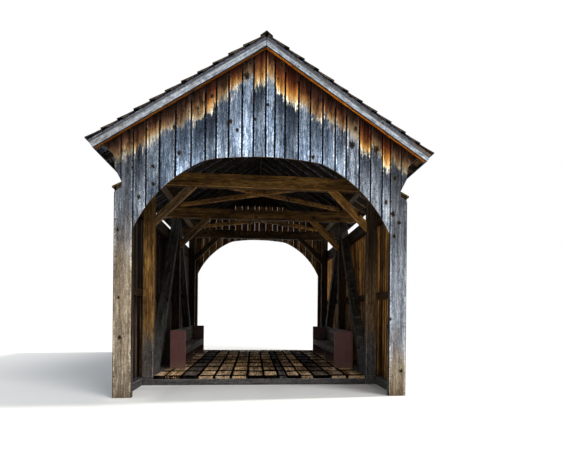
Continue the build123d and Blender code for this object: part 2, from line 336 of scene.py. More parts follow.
def weathered(wood, outward, grey, tan):
    """The outer boards' grey and tan, and their grain. outward is 1 on the legs and the side walls."""
    grain = wood.speck.span(0.15, 0.85, -0.42, 0.50) * outward.between(1.0, 0.65) + 1.0
    height = wood.patch * -0.9 + (wood.tan * 4.0 + 0.45)
    tanned = (wood.place_z - height).span(0.7, -0.7).at_least(outward * wood.tan.span(0.0, 0.25, 0.14, 0.33))
    tanned = tanned.at_least(wood.place_x.span(0.9, 1.6, 0.0, 0.24))
    tanned = tanned.at_least(wood.place_x.span(-1.7, -2.1, 0.04, 0.24))
    blotches = wood.patch.span(0.10, 0.90, -0.45, 0.40) * outward.between(1.0, 0.40) + 1.0
    bright = wood.pale.between(0.40, 1.50) * blotches
    bright = bright * (wood.tan * wood.place_z.span(2.4, 1.2)).span(0.2, 0.7, 1.05, 1.42)
    # partly painted shade: the legs and side walls darken towards their tops, for their shelter from rain and
    # for the shade under the eave
    shelter_and_eave_shade = outward * wood.place_z.span(2.1, 3.0)
    bright = bright * shelter_and_eave_shade.between(1.0, wood.tan * 0.62 + 0.33)
    low = wood.place_z.span(0.70, 0.28, 1.0, 0.80)
    return wood.scale(wood.mix(tanned, grey, tan), bright, low, grain), grain


def roof_marks(wood, outer, grain):
    """outer with the warm wood that the roof shelters and the dark stain along its ragged lower border."""
    below = wood.below_roof()
    flames = (wood.streak * 0.5 + wood.mottle * 0.5 - 0.5) * (wood.jag * 0.42 + 0.10)
    blotch = wood.noise(wood.vector(wood.place_x, 0.0, wood.along), 9.0, 3.0, 0.6)
    reach = wood.warm + 0.20
    past = below - reach - (flames + (blotch * 0.36 - 0.18))
    soft = wood.stain * -0.10 + 0.14
    fading = wood.broad * 0.5 + 0.50
    stain = past.span(-0.05, 0.03) * past.span(fading, 0.14) * wood.stain
    outer = wood.scale(outer, past.span(0.10, 0.80, 0.97, wood.pale.span(0.05, 0.12, 0.95, 1.28)))
    dark = wood.mix(0.5, wood.scale(outer, 0.08), wood.scale(paint("222b3a")[:3], grain))
    grown = past.span(soft * -1.0, soft)
    return wood.mix(grown, warm_zone(wood, below, reach), wood.mix(stain, outer, dark))


def painted_inner_light(wood):
    """Painted light and shade on the inner faces: each board's own painted light, dimmer at the top of the
    far gable, and a painted gradient up the side walls, lighter high on the right and low on the left.
    """
    rear = wood.place_y.span(4.5, 5.0)
    light = wood.jag * 2.2 + wood.place_y.span(4.5, 5.0, 0.20, 0.72)
    light = light * (rear * wood.place_z.span(5.15, 5.30)).between(1.0, 0.12)
    light = light * wood.broad.span(0.25, 0.75, 0.60, 1.45)
    walls = wood.place_x.sign() * abs(wood.place_x).above(WALL_INNER - 0.01)
    return light * (wood.place_z.span(0.9, 2.2, -0.30, 0.28) * walls + 1.0), walls.under(0.0) * 0.16


def siding_material():
    """Boards that turn blue grey outside, keep their warm colour under the roof, and stay brown inside."""
    wood = Wood("weathered_siding", knot_size=0.026, knot_share=0.60)
    wood.add_knots(FRONT_KNOTS, wood.place_y.span(-5.0, -5.1))
    outward = abs(wood.place_x).span(2.05, 2.25)
    fibres = (wood.fibre_mix(0.34, 0.26, 0.10, 0.30) - 0.5) * outward.between(1.0, 0.80) + 0.5
    stops = (0.22, 0.38, 0.50, 0.62, 0.80)
    grey = wood.ramp(fibres, stops, "1d252f 465466 6b7b90 95a4b7 d2dae4")
    tan = wood.ramp(fibres, stops, "372e23 6c5f50 8b7c68 ab9c88 d6cbba")
    outer = roof_marks(wood, *weathered(wood, outward, grey, tan))
    foot = (wood.streak * 0.35 + wood.place_z).span(0.50, 0.15)
    outer = wood.mix(foot * 0.65, outer, "4a3925")
    # painted shade and highlight: the boards darken along their seams as shade in the gaps, with a paler
    # painted rim just inside; the pale worn chamfers are partly wear and partly painted highlight
    rim = wood.inward.span(0.40, 0.52) * wood.inward.span(1.0, 0.60)
    rim = rim * wood.speck.span(0.25, 0.70, 0.15, 1.15) + 1.0
    outer = wood.scale(outer, wood.inward.span(0.20, 0.42) * rim)
    outer = wood.mix(wood.worn.span(0.3, 1.0, 0.0, 0.6), outer, wood.scale(tan, 1.1))

    # the inner faces get painted light and shade
    light, cold = painted_inner_light(wood)
    inner = wood.mix(cold, inner_brown(wood), wood.scale(grey, 0.6))
    inner = wood.scale(inner, light * wood.inward.span(0.1, 0.8, 0.06, 1.0))
    colour = wood.mix(wood.weather, wood.marked(inner), wood.marked(outer, "2c2015", "554832", 0.30))
    return wood.wood_finish(colour, 0.0022, specular=0.06)


def timber_material():
    """The truss timbers: golden brown to nearly black, some of them grey, with grey feet at the portals,
    painted shade on the front posts towards their tops, and partly painted highlights on worn arrises.
    """
    wood = Wood("truss_timber", knot_size=0.04)
    grey = wood.ramp(wood.fibre_mix(), (0.25, 0.48, 0.64, 0.85), "1a1a1a 45443f 6b6861 99958c")
    colour = wood.scale(wood.mix(wood.warm, inner_brown(wood), grey), wood.pale.between(0.16, 1.70))
    # painted shade: marked timbers, the front posts, are darker towards their tops
    shade = (wood.place_x * 0.15 + wood.place_z).span(2.25, 3.05, 1.30, 0.50)
    colour = wood.mix(wood.stain, colour, wood.scale(colour, shade))
    low = (wood.streak * 0.9 + wood.place_z).span(1.70, 1.20) * abs(wood.place_y).span(1.2, 3.2)
    rough = wood.speck * 0.4 + wood.fibre_mix() * 0.6
    colour = wood.mix(low * 0.84, colour, wood.ramp(rough, (0.25, 0.5, 0.75), "1b1b1d 474747 727273"))
    # partly painted highlight: worn arrises are made much lighter, for wear and for the light they catch
    rubbed = wood.worn * wood.speck.span(0.2, 0.6, 0.25, 1.0) * wood.warm.span(0.2, 0.8, 1.0, 0.1)
    colour = wood.mix(rubbed, colour, wood.scale(colour, 2.6))
    return wood.wood_finish(wood.marked(colour, "1d140d", "2a2016"), 0.0018)


def fresh_material():
    """The rafters behind the bargeboards: orange brown, with little weather, and a painted shadow along their
    top under the bargeboards.
    """
    wood = Wood("sheltered_rafters")
    colour = wood.ramp(wood.fibre_mix(), (0.34, 0.48, 0.60, 0.72), "4f2604 844406 a65f0d c07f2a")
    # painted shadow: the strip just under the bargeboards' lower edge is darkened
    colour = wood.scale(colour, wood.pale.between(0.35, 1.9) * wood.patch.span(0.3, 0.7, 0.75, 1.1),
                        wood.below_roof().span(0.138, 0.150, 0.20, 1.0))
    return wood.wood_finish(wood.marked(colour), 0.0016)


def sheathing_material():
    """Roof sheathing as it shows from below: a dull blue grey, brown at the right eave."""
    wood = Wood("roof_sheathing")
    colour = wood.ramp(wood.fibre_mix(), (0.25, 0.45, 0.62, 0.85), "484b5c 6e7287 898da1 aaaebe")
    colour = wood.scale(colour, wood.pale.between(0.70, 1.15))
    brown = wood.ramp(wood.fibre_mix(), (0.25, 0.50, 0.80), "5c3c25 9a6f4b c59a72")
    colour = wood.mix(wood.place_x.span(2.45, 2.60), colour, brown)
    colour = wood.scale(colour, wood.inward.span(0.0, 0.4, 0.4, 1.0))
    return wood.wood_finish(wood.marked(colour, "120d09", "1d1610"), 0.0016)


def rake_material():
    """Bargeboards bleached to a mottled pale grey, darker along the top, partly from the dirt where the
    shakes drip on them and partly as painted shade under the shakes, and painted darker as shade on their
    undersides and inner faces.
    """
    wood = Wood("bleached_bargeboard", knot_size=0.016)
    grain = wood.attribute("grain")
    colour = wood.ramp(wood.fibre_mix(0.15, 0.25, 0.15, 0.45), (0.30, 0.42, 0.54, 0.70),
                       "60656d 8a919a abb3bd ccd3dc")
    colour = wood.scale(colour, wood.noise(grain, 24.0, 4.0, 0.75).span(0.35, 0.62, 0.70, 1.08))
    brown = wood.noise(grain, 5.0, 3.0, 0.6).span(0.54, 0.70, 0.0, 0.45)
    colour = wood.mix(brown + wood.place_x.span(-1.5, -2.7, 0.0, 0.35), colour, "6f6356")
    # partly painted shade: a ragged dark band along the top stands for drip dirt and the shade under the
    # shakes
    ragged = wood.mottle * 0.030 + wood.place_x.span(-1.0, 1.0, 0.034, 0.056)
    dirt_and_shade = (wood.below_roof() - ragged).span(0.0, -0.026)
    colour = wood.mix(dirt_and_shade * 0.80, colour, "312b25")
    colour = wood.mix(wood.worn * 0.4, colour, "5c564e")
    # painted shade: faces turned in towards the middle, the undersides among them, are made much darker, and
    # faces turned straight out somewhat darker
    inside = wood.facing(0) * wood.place_x.sign()
    colour = wood.scale(colour, inside.span(-0.45, -0.15, 0.12, 1.0), inside.span(0.5, 0.8, 1.0, 0.50))
    return wood.wood_finish(wood.marked(colour, "3a332c", "8c867c"), 0.0016)


def shake_material():
    """Thick split shakes, dark brown and grey, darker at their butts."""
    wood = Wood("split_shakes", knot_share=0.05)
    colour = wood.ramp(wood.fibre_mix(0.3, 0.4, 0.1, 0.2), (0.32, 0.46, 0.57, 0.70),
                       "171412 3a332d 5e554c 857c72")
    brown = wood.ramp(wood.fibre_mix(), (0.34, 0.50, 0.68), "1b120c 47321f 745941")
    colour = wood.mix(wood.hue * 0.55, colour, brown)
    colour = wood.scale(colour, wood.pale.between(0.55, 1.35) * wood.patch.span(0.3, 0.7, 0.8, 1.15),
                        wood.inward.between(0.30, 1.0))
    ends = abs(wood.facing(1)).span(0.6, 0.9) * wood.inward.span(0.35, 0.7)
    colour = wood.mix(ends * 0.8, colour, wood.ramp(wood.speck, (0.2, 0.5, 0.8), "221d18 413a32 6e6459"))
    lichen = wood.noise(wood.vector(wood.place_x, wood.place_y, wood.place_z), 9.0, 4.0, 0.75)
    colour = wood.mix(lichen.span(0.62, 0.74, 0.0, 0.5), colour, "7b7a68")
    colour = wood.scale(colour, wood.stain.between(1.0, 0.22))
    return wood.wood_finish(wood.marked(colour, "15110d", "1f1a15"), 0.0030)


def deck_material():
    """Deck planks: tan brown, a few of them grey, some darkened as painted shadow bands, with ragged black
    rows over the joists and painted shade along their seams.
    """
    wood = Wood("deck_plank", knot_size=0.045, knot_share=0.3)
    colour = wood.ramp(wood.fibre_mix(), (0.30, 0.44, 0.56, 0.72), "302313 6b5438 967955 c8ad88")
    grey = wood.ramp(wood.fibre_mix(), (0.34, 0.50, 0.66), "2b2e34 585d66 868b94")
    colour = wood.mix(wood.hue * 0.7, colour, grey)
    shifted = wood.jag * 0.16 + (wood.place_y + 9.02)
    cell = (shifted / JOIST_SPACING).floor()
    white = wood.node("TexWhiteNoise", {"Vector": wood.vector(cell, wood.pale, wood.hue)})
    luck = Signal(wood, white.outputs["Value"])
    bright = wood.pale.between(1.50, 2.45) * wood.patch.span(0.3, 0.7, 0.68, 1.25)
    colour = wood.scale(colour, bright * luck.between(0.80, 1.40))
    # painted shadow: the marked planks are darkened to grey as bands of cast shadow
    colour = wood.mix(wood.stain, colour, wood.scale(grey, 0.52))
    row = abs((shifted + JOIST_SPACING / 2).pingpong(JOIST_SPACING) - JOIST_SPACING / 2)
    # painted shade along the plank seams, which darken nearly to black; the rows over the joists darken too
    colour = wood.scale(colour, (wood.mottle * -0.10 + row).span(0.044, 0.072, 0.01, 1.0),
                        wood.inward.span(0.26, 0.42, 0.01, 1.0))
    return wood.wood_finish(wood.marked(colour), 0.0022, specular=0.0)


def ledge_material():
    """The sloping ledge: dark and damp on top, its sawn ends olive brown."""
    wood = Wood("ledge_board")
    colour = wood.ramp(wood.fibre_mix(), (0.34, 0.48, 0.60, 0.72), "1d1712 4a3b2c 6b5a46 8a7a64")
    colour = wood.scale(colour, wood.patch.span(0.3, 0.7, 0.55, 1.1))
    olive = wood.ramp(wood.speck, (0.2, 0.6, 0.9), "2a2110 54431f 7c6532")
    colour = wood.mix(abs(wood.facing(1)).span(0.5, 0.9), colour, olive)
    return wood.wood_finish(wood.marked(colour), 0.0018)


def painted_material():
    """Maroon paint on the bench ends, rubbed through along the edges, dusty near the deck."""
    wood = Wood("maroon_paint", knot_share=0.02)
    grain = wood.attribute("grain")
    colour = wood.mix(wood.noise(grain, 6.0, 3.0), "653d3a", "744845")
    colour = wood.scale(colour, wood.pale.between(0.25, 1.0), wood.streak.span(0.35, 0.65, 0.88, 1.08))
    bare = wood.ramp(wood.fibre_mix(), (0.34, 0.60), "54483c 8f8069")
    chips = wood.noise(grain, 70.0, 3.0, 0.7).span(0.60, 0.66)
    rubbed = wood.worn * wood.noise(grain, 14.0, 3.0).span(0.40, 0.55)
    colour = wood.mix(rubbed.at_least(chips * 0.35), colour, bare)
    dust = wood.speck * 0.15 + wood.place_z
    colour = wood.mix(dust.span(0.50, 0.22, 0.0, 0.35), colour, "8d7b68")
    return wood.finish(colour, wood.speck.span(0.3, 0.7, 0.45, 0.62), wood.wood_relief(0.0006), 0.4)


def bench_material():
    """Bench boards: grey brown, smooth from use."""
    wood = Wood("bench_board")
    colour = wood.ramp(wood.fibre_mix(), (0.34, 0.48, 0.60, 0.72), "33291f 5a4c3d 786856 988774")
    colour = wood.scale(colour, wood.patch.span(0.3, 0.7, 0.75, 1.1), wood.pale.between(0.18, 1.1))
    colour = wood.mix(wood.worn * 0.5, colour, wood.scale(colour, 1.5))
    return wood.wood_finish(wood.marked(colour), 0.0012, (0.6, 0.85), 0.06)


def iron_material():
    """Rusted nail heads."""
    iron = Shader("rusted_iron")
    rust = iron.noise(iron.node("TexCoord").outputs["Object"], 160.0, 3.0)
    colour = iron.ramp(rust, (0.35, 0.55, 0.72), "221b18 4a3126 6b4630")
    iron.surface.inputs["Metallic"].default_value = 0.4
    return iron.finish(colour, rust.span(0.3, 0.7, 0.5, 0.85), iron.relief(rust, 0.0004), 0.5)


# Boards and timbers

# The mark of wood without a stain or painted shade, a jagged border or a tan foot.
PLAIN = (0.0, 0.5, 0.0)

# Where a ring of a board lies: the first and last are its ends, the ones beside them its chamfers.
NEAR_LOW, NEAR_HIGH = "near low", "near high"

# The distance to an edge that isn't free.
NO_EDGE = 9.0

# A timber is cut across at this spacing, and each cut shifted by up to this much, so its faces are uneven.
TIMBER_CUT = 0.45
TIMBER_SWAY = 0.0020

# How far in from a free edge a board is darker.
EDGE_SHADE = 0.030

NAIL_SIDES = 8


def wood_heart():
    """Where the middle of the tree lies from a board's corner, and how far up the tree the board starts."""
    return Vector((chance.uniform(-0.10, 0.20), chance.choice((-1, 1)) * chance.uniform(0.02, 0.12),
                   chance.uniform(0.0, 60.0)))


def axes(origin, across, out, along):
    """The matrix that carries (across, out, along) lengths to a place in the frame."""
    columns = [Vector(across).normalized(), Vector(out).normalized(), Vector(along).normalized()]
    made = Matrix.Identity(4)
    for index, column in enumerate(columns):
        for row in range(3):
            made[row][index] = column[row]
    made.translation = Vector(origin)
    return made


class Boards:
    """Many boards in one mesh. Each point keeps the coordinates that its wood is drawn by."""

    def __init__(self):
        self.points, self.faces, self.face_worn = [], [], []
        self.grain, self.tone, self.mark, self.weather, self.inward = [], [], [], [], []

    def point(self, place, grain, tone, weather=1.0, inward=1.0, mark=PLAIN):
        self.points.append(tuple(place))
        self.grain.append(tuple(grain))
        self.tone.append(tuple(tone))
        self.mark.append(tuple(mark))
        self.weather.append(weather)
        self.inward.append(inward)

    def board(self, place, width, thick, low, high, tone, columns=4, rows=8, chamfer=0.003, cup=0.0,
              sway=0.0015, heart=None, sides=(True, True), turns=None, mark=PLAIN):
        """One board: a worn cross section carried from low to high, which are lengths or functions of the
        place across. sides says which long edges are free, and so worn and darkened. turns are the places
        across at which its ends change direction. mark is how strong the stain below the warm wood is, on
        posts and planks the painted shade, how jagged its border, which on inner faces also sets their
        painted light, and how high the tan foot reaches."""
        heart = heart or wood_heart()
        low_at = low if callable(low) else (lambda u: low)
        high_at = high if callable(high) else (lambda u: high)
        left, right = (chamfer if free else 0.0 for free in sides)
        cuts = [left + (width - left - right) * k / columns for k in range(columns + 1)]
        if turns:
            cuts = sorted(set([cuts[0], cuts[-1]] + [u for u in turns if cuts[0] < u < cuts[-1]]))
        loop = [(u, thick, 1.0) for u in cuts]
        loop += [(width, thick - right, 1.0), (width, right, 0.3)] if right else []
        loop += [(u, 0.0, 0.0) for u in reversed(cuts)]
        loop += [(0.0, left, 0.3), (0.0, thick - left, 1.0)] if left else []
        start = len(self.points)
        seed = Vector((chance.uniform(0, 50), chance.uniform(0, 50), 0))
        shares = [0.0, NEAR_LOW] + [k / rows for k in range(1, rows)] + [NEAR_HIGH, 1.0]
        for share in shares:
            for u, w, out in loop:
                bottom, top = low_at(u), high_at(u)
                if share == NEAR_LOW:
                    v = bottom + chamfer
                elif share == NEAR_HIGH:
                    v = top - chamfer
                else:
                    v = bottom + (top - bottom) * share
                edge = min(u if left else NO_EDGE, width - u if right else NO_EDGE)
                middle = 1.0 - (2 * u / width - 1.0) ** 2
                w2 = w + cup * middle * (1 if w > thick / 2 else 0.6)
                drift = noise.noise(seed + Vector((0.0, v * 1.1, 0.0))) * sway
                lift = noise.noise(seed + Vector((3.0, v * 0.8, u * 4.0))) * sway
                side = noise.noise(seed + Vector((9.0 if u > width / 2 else 17.0, v * 1.7, 0.0))) * sway
                u2 = u
                if share in (0.0, 1.0):
                    u2 = min(max(u, left), width - right)
                    w2 = w2 - chamfer if w > thick / 2 else w2 + chamfer
                spot = place @ Vector((u2 + drift + side, w2 + lift, v))
                self.point(spot, (heart.x + u, heart.y + w, heart.z + v), tone, out,
                           min(1.0, edge / EDGE_SHADE) if (left or right) else 1.0, mark)
        self.skin(start, len(shares), len(loop), len(cuts) - 1, sides)

    def skin(self, start, rings, count, last, sides):
        """The faces of one board round its rings of count points. last is how many strips its face has."""
        left, right = sides
        edges = ({last, last + 2} if right else set()) | ({count - 3, count - 1} if left else set())
        for ring in range(rings - 1):
            self.band(start + ring * count, count, 1.0 if ring in (0, rings - 2) else 0.0, edges)
        back = 2 * last + 1 + (2 if right else 0)
        for end in (start, start + (rings - 1) * count):
            for k in range(last):
                self.face([end + k, end + k + 1, end + back - k - 1, end + back - k], 1.0)
            if right:
                self.face([end + last, end + last + 1, end + last + 2, end + last + 3], 1.0)
            if left:
                self.face([end + back, end + count - 2, end + count - 1, end], 1.0)

    def face(self, corners, worn):
        self.faces.append(corners)
        self.face_worn.append(worn)

    def band(self, start, count, worn=0.0, edges=()):
        """The faces from the ring of count points at start to the next ring, a little worn at those edges."""
        for k in range(count):
            a, b = start + k, start + (k + 1) % count
            self.face([a, b, b + count, a + count], max(worn, 0.25 if k in edges else 0.0))

    def timbers(self, node, chamfer, tone, mark):
        """Worn copies of a CAD node's solids: edges rounded off, faces a little uneven."""
        for solid in solids_of(node):
            longest = max(solid.edges, key=lambda e: e.calc_length())
            along = (longest.verts[1].co - longest.verts[0].co).normalized()
            sides = (f for f in solid.faces if abs(f.normal.dot(along)) < 0.1)
            broad = max(sides, key=lambda f: f.calc_area())
            out = (broad.normal - along * broad.normal.dot(along)).normalized()
            across = along.cross(out)
            spots = [v.co.dot(along) for v in solid.verts]
            steps = int((max(spots) - min(spots)) / TIMBER_CUT)
            middle = sum((v.co for v in solid.verts), Vector()) / len(solid.verts)
            for step in range(1, steps + 1):
                level = min(spots) + (max(spots) - min(spots)) * step / (steps + 1)
                bmesh.ops.bisect_plane(solid, geom=solid.verts[:] + solid.edges[:] + solid.faces[:],
                                       plane_co=along * level, plane_no=along)
            sharp = [e for e in solid.edges if len(e.link_faces) == 2 and e.calc_face_angle() > 0.5]
            made = bmesh.ops.bevel(solid, geom=sharp, offset=chamfer, segments=1, profile=0.5,
                                   affect="EDGES", clamp_overlap=True)
            worn = set(made["faces"])
            heart = wood_heart()
            look = tone(middle) if callable(tone) else tone or (chance.random(), 0.5, chance.random() * 0.6)
            look = [min(1.0, max(0.0, part + chance.uniform(-0.06, 0.06))) for part in look]
            start = len(self.points)
            solid.verts.index_update()
            for v in solid.verts:
                local = v.co - middle
                grain = (local.dot(across) + heart.x, local.dot(out) + heart.y, local.dot(along) + heart.z)
                shift = noise.noise_vector(v.co * 1.3 + heart) * TIMBER_SWAY
                self.point(v.co + shift, grain, look, weather=0.0, mark=mark)
            for f in solid.faces:
                self.face([start + v.index for v in f.verts], 1.0 if f in worn else 0.0)
            solid.free()

    def nail(self, centre, out, radius=0.0065):
        """One nail head: a low eight-sided dome."""
        out = Vector(out)
        side = out.orthogonal().normalized()
        other = out.cross(side)
        start = len(self.points)
        for size, rise in ((1.0, 0.0), (0.75, 0.0022)):
            for k in range(NAIL_SIDES):
                angle = k * 2 * math.pi / NAIL_SIDES
                away = (side * math.cos(angle) + other * math.sin(angle)) * radius * size
                self.point(Vector(centre) + away + out * rise, (0, 0, 0), (0.5, 0.5, 0.5))
        self.band(start, NAIL_SIDES)
        self.face([start + NAIL_SIDES + k for k in range(NAIL_SIDES)], 0.0)

    def make(self, name, material, slot=None, stands_for=()):
        """Makes the mesh object, which rides on the body and stands for the CAD nodes named."""
        mesh = bpy.data.meshes.new(name)
        mesh.from_pydata(self.points, [], self.faces)
        turned = bmesh.new()
        turned.from_mesh(mesh)
        bmesh.ops.recalc_face_normals(turned, faces=turned.faces)
        turned.to_mesh(mesh)
        turned.free()
        for key, values in (("grain", self.grain), ("tone", self.tone), ("mark", self.mark)):
            layer = mesh.attributes.new(key, "FLOAT_VECTOR", "POINT")
            layer.data.foreach_set("vector", [x for value in values for x in value])
        look = []
        for polygon in mesh.polygons:
            for corner in polygon.loop_indices:
                index = mesh.loops[corner].vertex_index
                look += [self.weather[index], self.inward[index], self.face_worn[polygon.index]]
        layer = mesh.attributes.new("look", "FLOAT_VECTOR", "CORNER")
        layer.data.foreach_set("vector", look)
        mesh.materials.append(material)
        mesh.update()
        piece = bpy.data.objects.new(name, mesh)
        bpy.context.scene.collection.objects.link(piece)
        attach(piece, "root")
        if stands_for:
            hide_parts(*stands_for)
        return piece


def solids_of(node):
    """The separate solids of a CAD node, each as its own clean bmesh."""
    whole = bmesh.new()
    whole.from_mesh(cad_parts[node].data)
    bmesh.ops.remove_doubles(whole, verts=whole.verts, dist=0.00002)
    bmesh.ops.dissolve_limit(whole, angle_limit=0.01, verts=whole.verts, edges=whole.edges)
    left = set(whole.faces)
    while left:
        group, stack = [], [min(left, key=lambda f: f.index)]
        left.discard(stack[0])
        while stack:
            face = stack.pop()
            group.append(face)
            for edge in face.edges:
                for other in edge.link_faces:
                    if other in left:
                        left.discard(other)
                        stack.append(other)
        solid = bmesh.new()
        copies = {}
        for face in sorted(group, key=lambda f: f.index):
            for v in face.verts:
                if v not in copies:
                    copies[v] = solid.verts.new(v.co)
            solid.faces.new([copies[v] for v in face.verts])
        solid.normal_update()
        yield solid
    whole.free()


def post_tone(middle):
    """The left posts at the portals are golden brown, the right ones a darker grey brown."""
    return (1.00, 0.10, 0.0) if middle.x < 0 else (0.38, 0.32, 0.0)


def king_tone(middle):
    """The king posts and rear posts are nearly black."""
    return (0.05, 0.2, 0.1) if middle.x < 0 else (0.15, 0.1, 0.1)


def knee_tone(middle):
    """The right knee braces are lighter than the left ones."""
    return (0.55, 0.20, 0.0) if middle.x < 0 else (0.78, 0.05, 0.0)


def fly_tone(middle):
    """The rafters behind the right bargeboards are a bright orange, the left ones dull."""
    return (0.32 if middle.x < 0 else 0.80, 0.5, 0.5)


def bench_end_tone(middle):
    """The panels nearest the front are light; those further back are painted darker as shade."""
    return (0.95 if middle.y < -1.0 else 0.40, 0.5, 0.5)


def both(word):
    """The left and the right CAD node of that kind."""
    return ["left_" + word, "right_" + word]


# How light, how grey and how red each group of truss timbers is.
TIMBER_TONES = (
    (["rear_posts", "king_posts"], king_tone),
    (["left_truss_braces"], (0.30, 0.90, 0.0)),
    (["right_truss_braces"], (0.20, 0.80, 0.0)),
    (["front_tie_beam"], (0.47, 0.0, 0.0)),
    (["middle_tie_beam"], (0.34, 0.10, 0.0)),
    (["rear_tie_beam"], (0.22, 0.2, 0.0)),
    (["front_knee_braces", "middle_knee_braces"], knee_tone),
    (["rear_knee_braces"], (0.25, 0.1, 0.0)),
    (["front_lateral_braces", "rear_lateral_braces"], (0.55, 0.0, 0.15)),
    (both("wall_plate"), (0.22, 0.1, 0.1)),
    # painted shade: the portal frames, seen in shade behind the legs, are made very dark
    (["front_portal_frame", "rear_portal_frame"], (0.15, 0.2, 0.2)),
    (both("wall_rails"), (0.12, 0.1, 0.3)),
    (["bottom_chords", "floor_joists"], (0.45, 0.5, 0.0)),
)


def widths(start, stop, narrow, wide, least):
    """Random widths that fill the stretch from start to stop, none under least: each one's place and size."""
    while start < stop - 0.01:
        width = min(chance.uniform(narrow, wide), stop - start)
        if stop - start - width < least:
            width = stop - start
        yield start, width
        start += width


def dress(nodes, material, slot, chamfer, tone=None, mark=PLAIN):
    """Gives each CAD node a worn copy with its own wood."""
    for node in nodes:
        boards = Boards()
        boards.timbers(node, chamfer, tone, mark)
        boards.make("worn_" + node, material, slot, [node])


# Roof line

def on_slope(side, down, up, y):
    """The point that far down the right (1) or left (-1) slope, and that far up from the rafters."""
    return Vector((side * (down * math.cos(PITCH) + up * math.sin(PITCH)), y,
                   RIDGE - down * math.sin(PITCH) + up * math.cos(PITCH)))


def outline_of(node, y):
    """The edges of a CAD node's flat face at that Y, as pairs of (x, z) points, without the inner edges."""
    solid = next(solids_of(node))
    edges = []
    for face in solid.faces:
        if abs(face.calc_center_median().y - y) < 0.001 and abs(face.normal.y) > 0.9:
            for edge in face.edges:
                if any(abs(f.normal.y) < 0.5 for f in edge.link_faces):
                    edges.append([(v.co.x, v.co.z) for v in edge.verts])
    solid.free()
    return edges


def crossings(edges, x):
    """The heights at which the upright line at x meets the edges."""
    found = []
    for (x0, z0), (x1, z1) in edges:
        if (x0 - x) * (x1 - x) < 0:
            found.append(z0 + (z1 - z0) * (x - x0) / (x1 - x0))
    return sorted(found)


# Portal boards

# The front boards from left to right: where each one ends, how pale it is, how far its warm colour reaches,
# how dark the stain below that is, how jagged the border between them, and how orange the warm part.
FRONT_BOARDS = (
    (-1.949, 0.25, 0.35, 0.55, 0.5, 0.30), (-1.732, 0.18, 0.37, 0.30, 0.2, 0.35),
    (-1.475, 0.30, 0.31, 0.30, 0.5, 0.25), (-1.226, 0.92, 0.38, 0.60, 0.3, 0.10),
    (-0.996, 0.58, 0.45, 0.80, 0.3, 0.25), (-0.819, 0.22, 0.44, 0.85, 0.7, 0.80),
    (-0.616, 0.45, 0.37, 0.60, 0.5, 0.25), (-0.391, 0.60, 0.31, 0.45, 0.9, 0.75),
    (-0.205, 0.63, 0.27, 0.10, 0.2, 0.10), (-0.002, 0.26, 0.49, 0.75, 0.6, 0.75),
    (0.152, 0.62, 0.42, 0.15, 0.3, 0.50), (0.325, 0.52, 0.53, 0.88, 0.5, 0.95),
    (0.553, 0.20, 0.54, 0.85, 0.6, 1.00), (0.754, 0.76, 0.44, 0.15, 0.1, 0.70),
    (0.966, 0.55, 0.50, 0.60, 0.7, 0.45), (1.182, 0.82, 0.39, 0.65, 1.0, 0.50),
    (1.372, 0.74, 0.36, 0.50, 1.0, 0.60), (1.602, 0.66, 0.40, 0.10, 0.0, 0.05),
    (1.803, 0.70, 0.50, 0.90, 0.5, 0.95), (2.004, 0.24, 0.33, 0.45, 0.1, 0.25),
    (2.150, 0.38, 0.53, 0.80, 0.4, 1.00),
)

# The largest knots of the front boards: the place of each across and up, and its radius.
FRONT_KNOTS = (
    (1.471, 4.296, 0.050), (1.890, 4.237, 0.050), (-0.477, 4.459, 0.026), (-0.180, 4.657, 0.024),
    (0.803, 4.062, 0.026), (-1.420, 4.034, 0.028), (-1.835, 3.803, 0.028), (-1.832, 3.508, 0.026),
    (-2.053, 3.287, 0.024), (-0.320, 5.369, 0.045), (2.200, 3.138, 0.036), (0.034, 4.903, 0.022),
    (-0.893, 5.003, 0.028), (2.368, 0.429, 0.024), (-2.387, 2.747, 0.020), (-2.361, 1.639, 0.018),
    (-2.340, 0.988, 0.024), (2.308, 2.986, 0.026), (2.221, 2.759, 0.026),
)

# Above this height strips cover the seams of the rear gable.
COVERED = 5.24

# The heights of the nails above the arch and on the legs, and how far out the legs' nails are.
ARCH_NAILS = 4.185
LEG_NAILS = (0.10, 0.22, 1.70, 1.83, 3.30, 3.45)
LEG_NAIL_PLACES = (2.185, 2.35)

# How far out the cheek's lower edge changes direction.
CHEEK_TURNS = (2.38, 2.41, 2.43, 2.439, 2.449, 2.451, 2.457, 2.463, 2.471, 2.48, 2.491, 2.506, 2.525, 2.547,
               2.568, 2.582, 2.594, 2.603, 2.61)


def roof_line(x):
    """The height at which the portal boards end under the sheathing."""
    return RIDGE - abs(x) * math.tan(PITCH) - 0.001


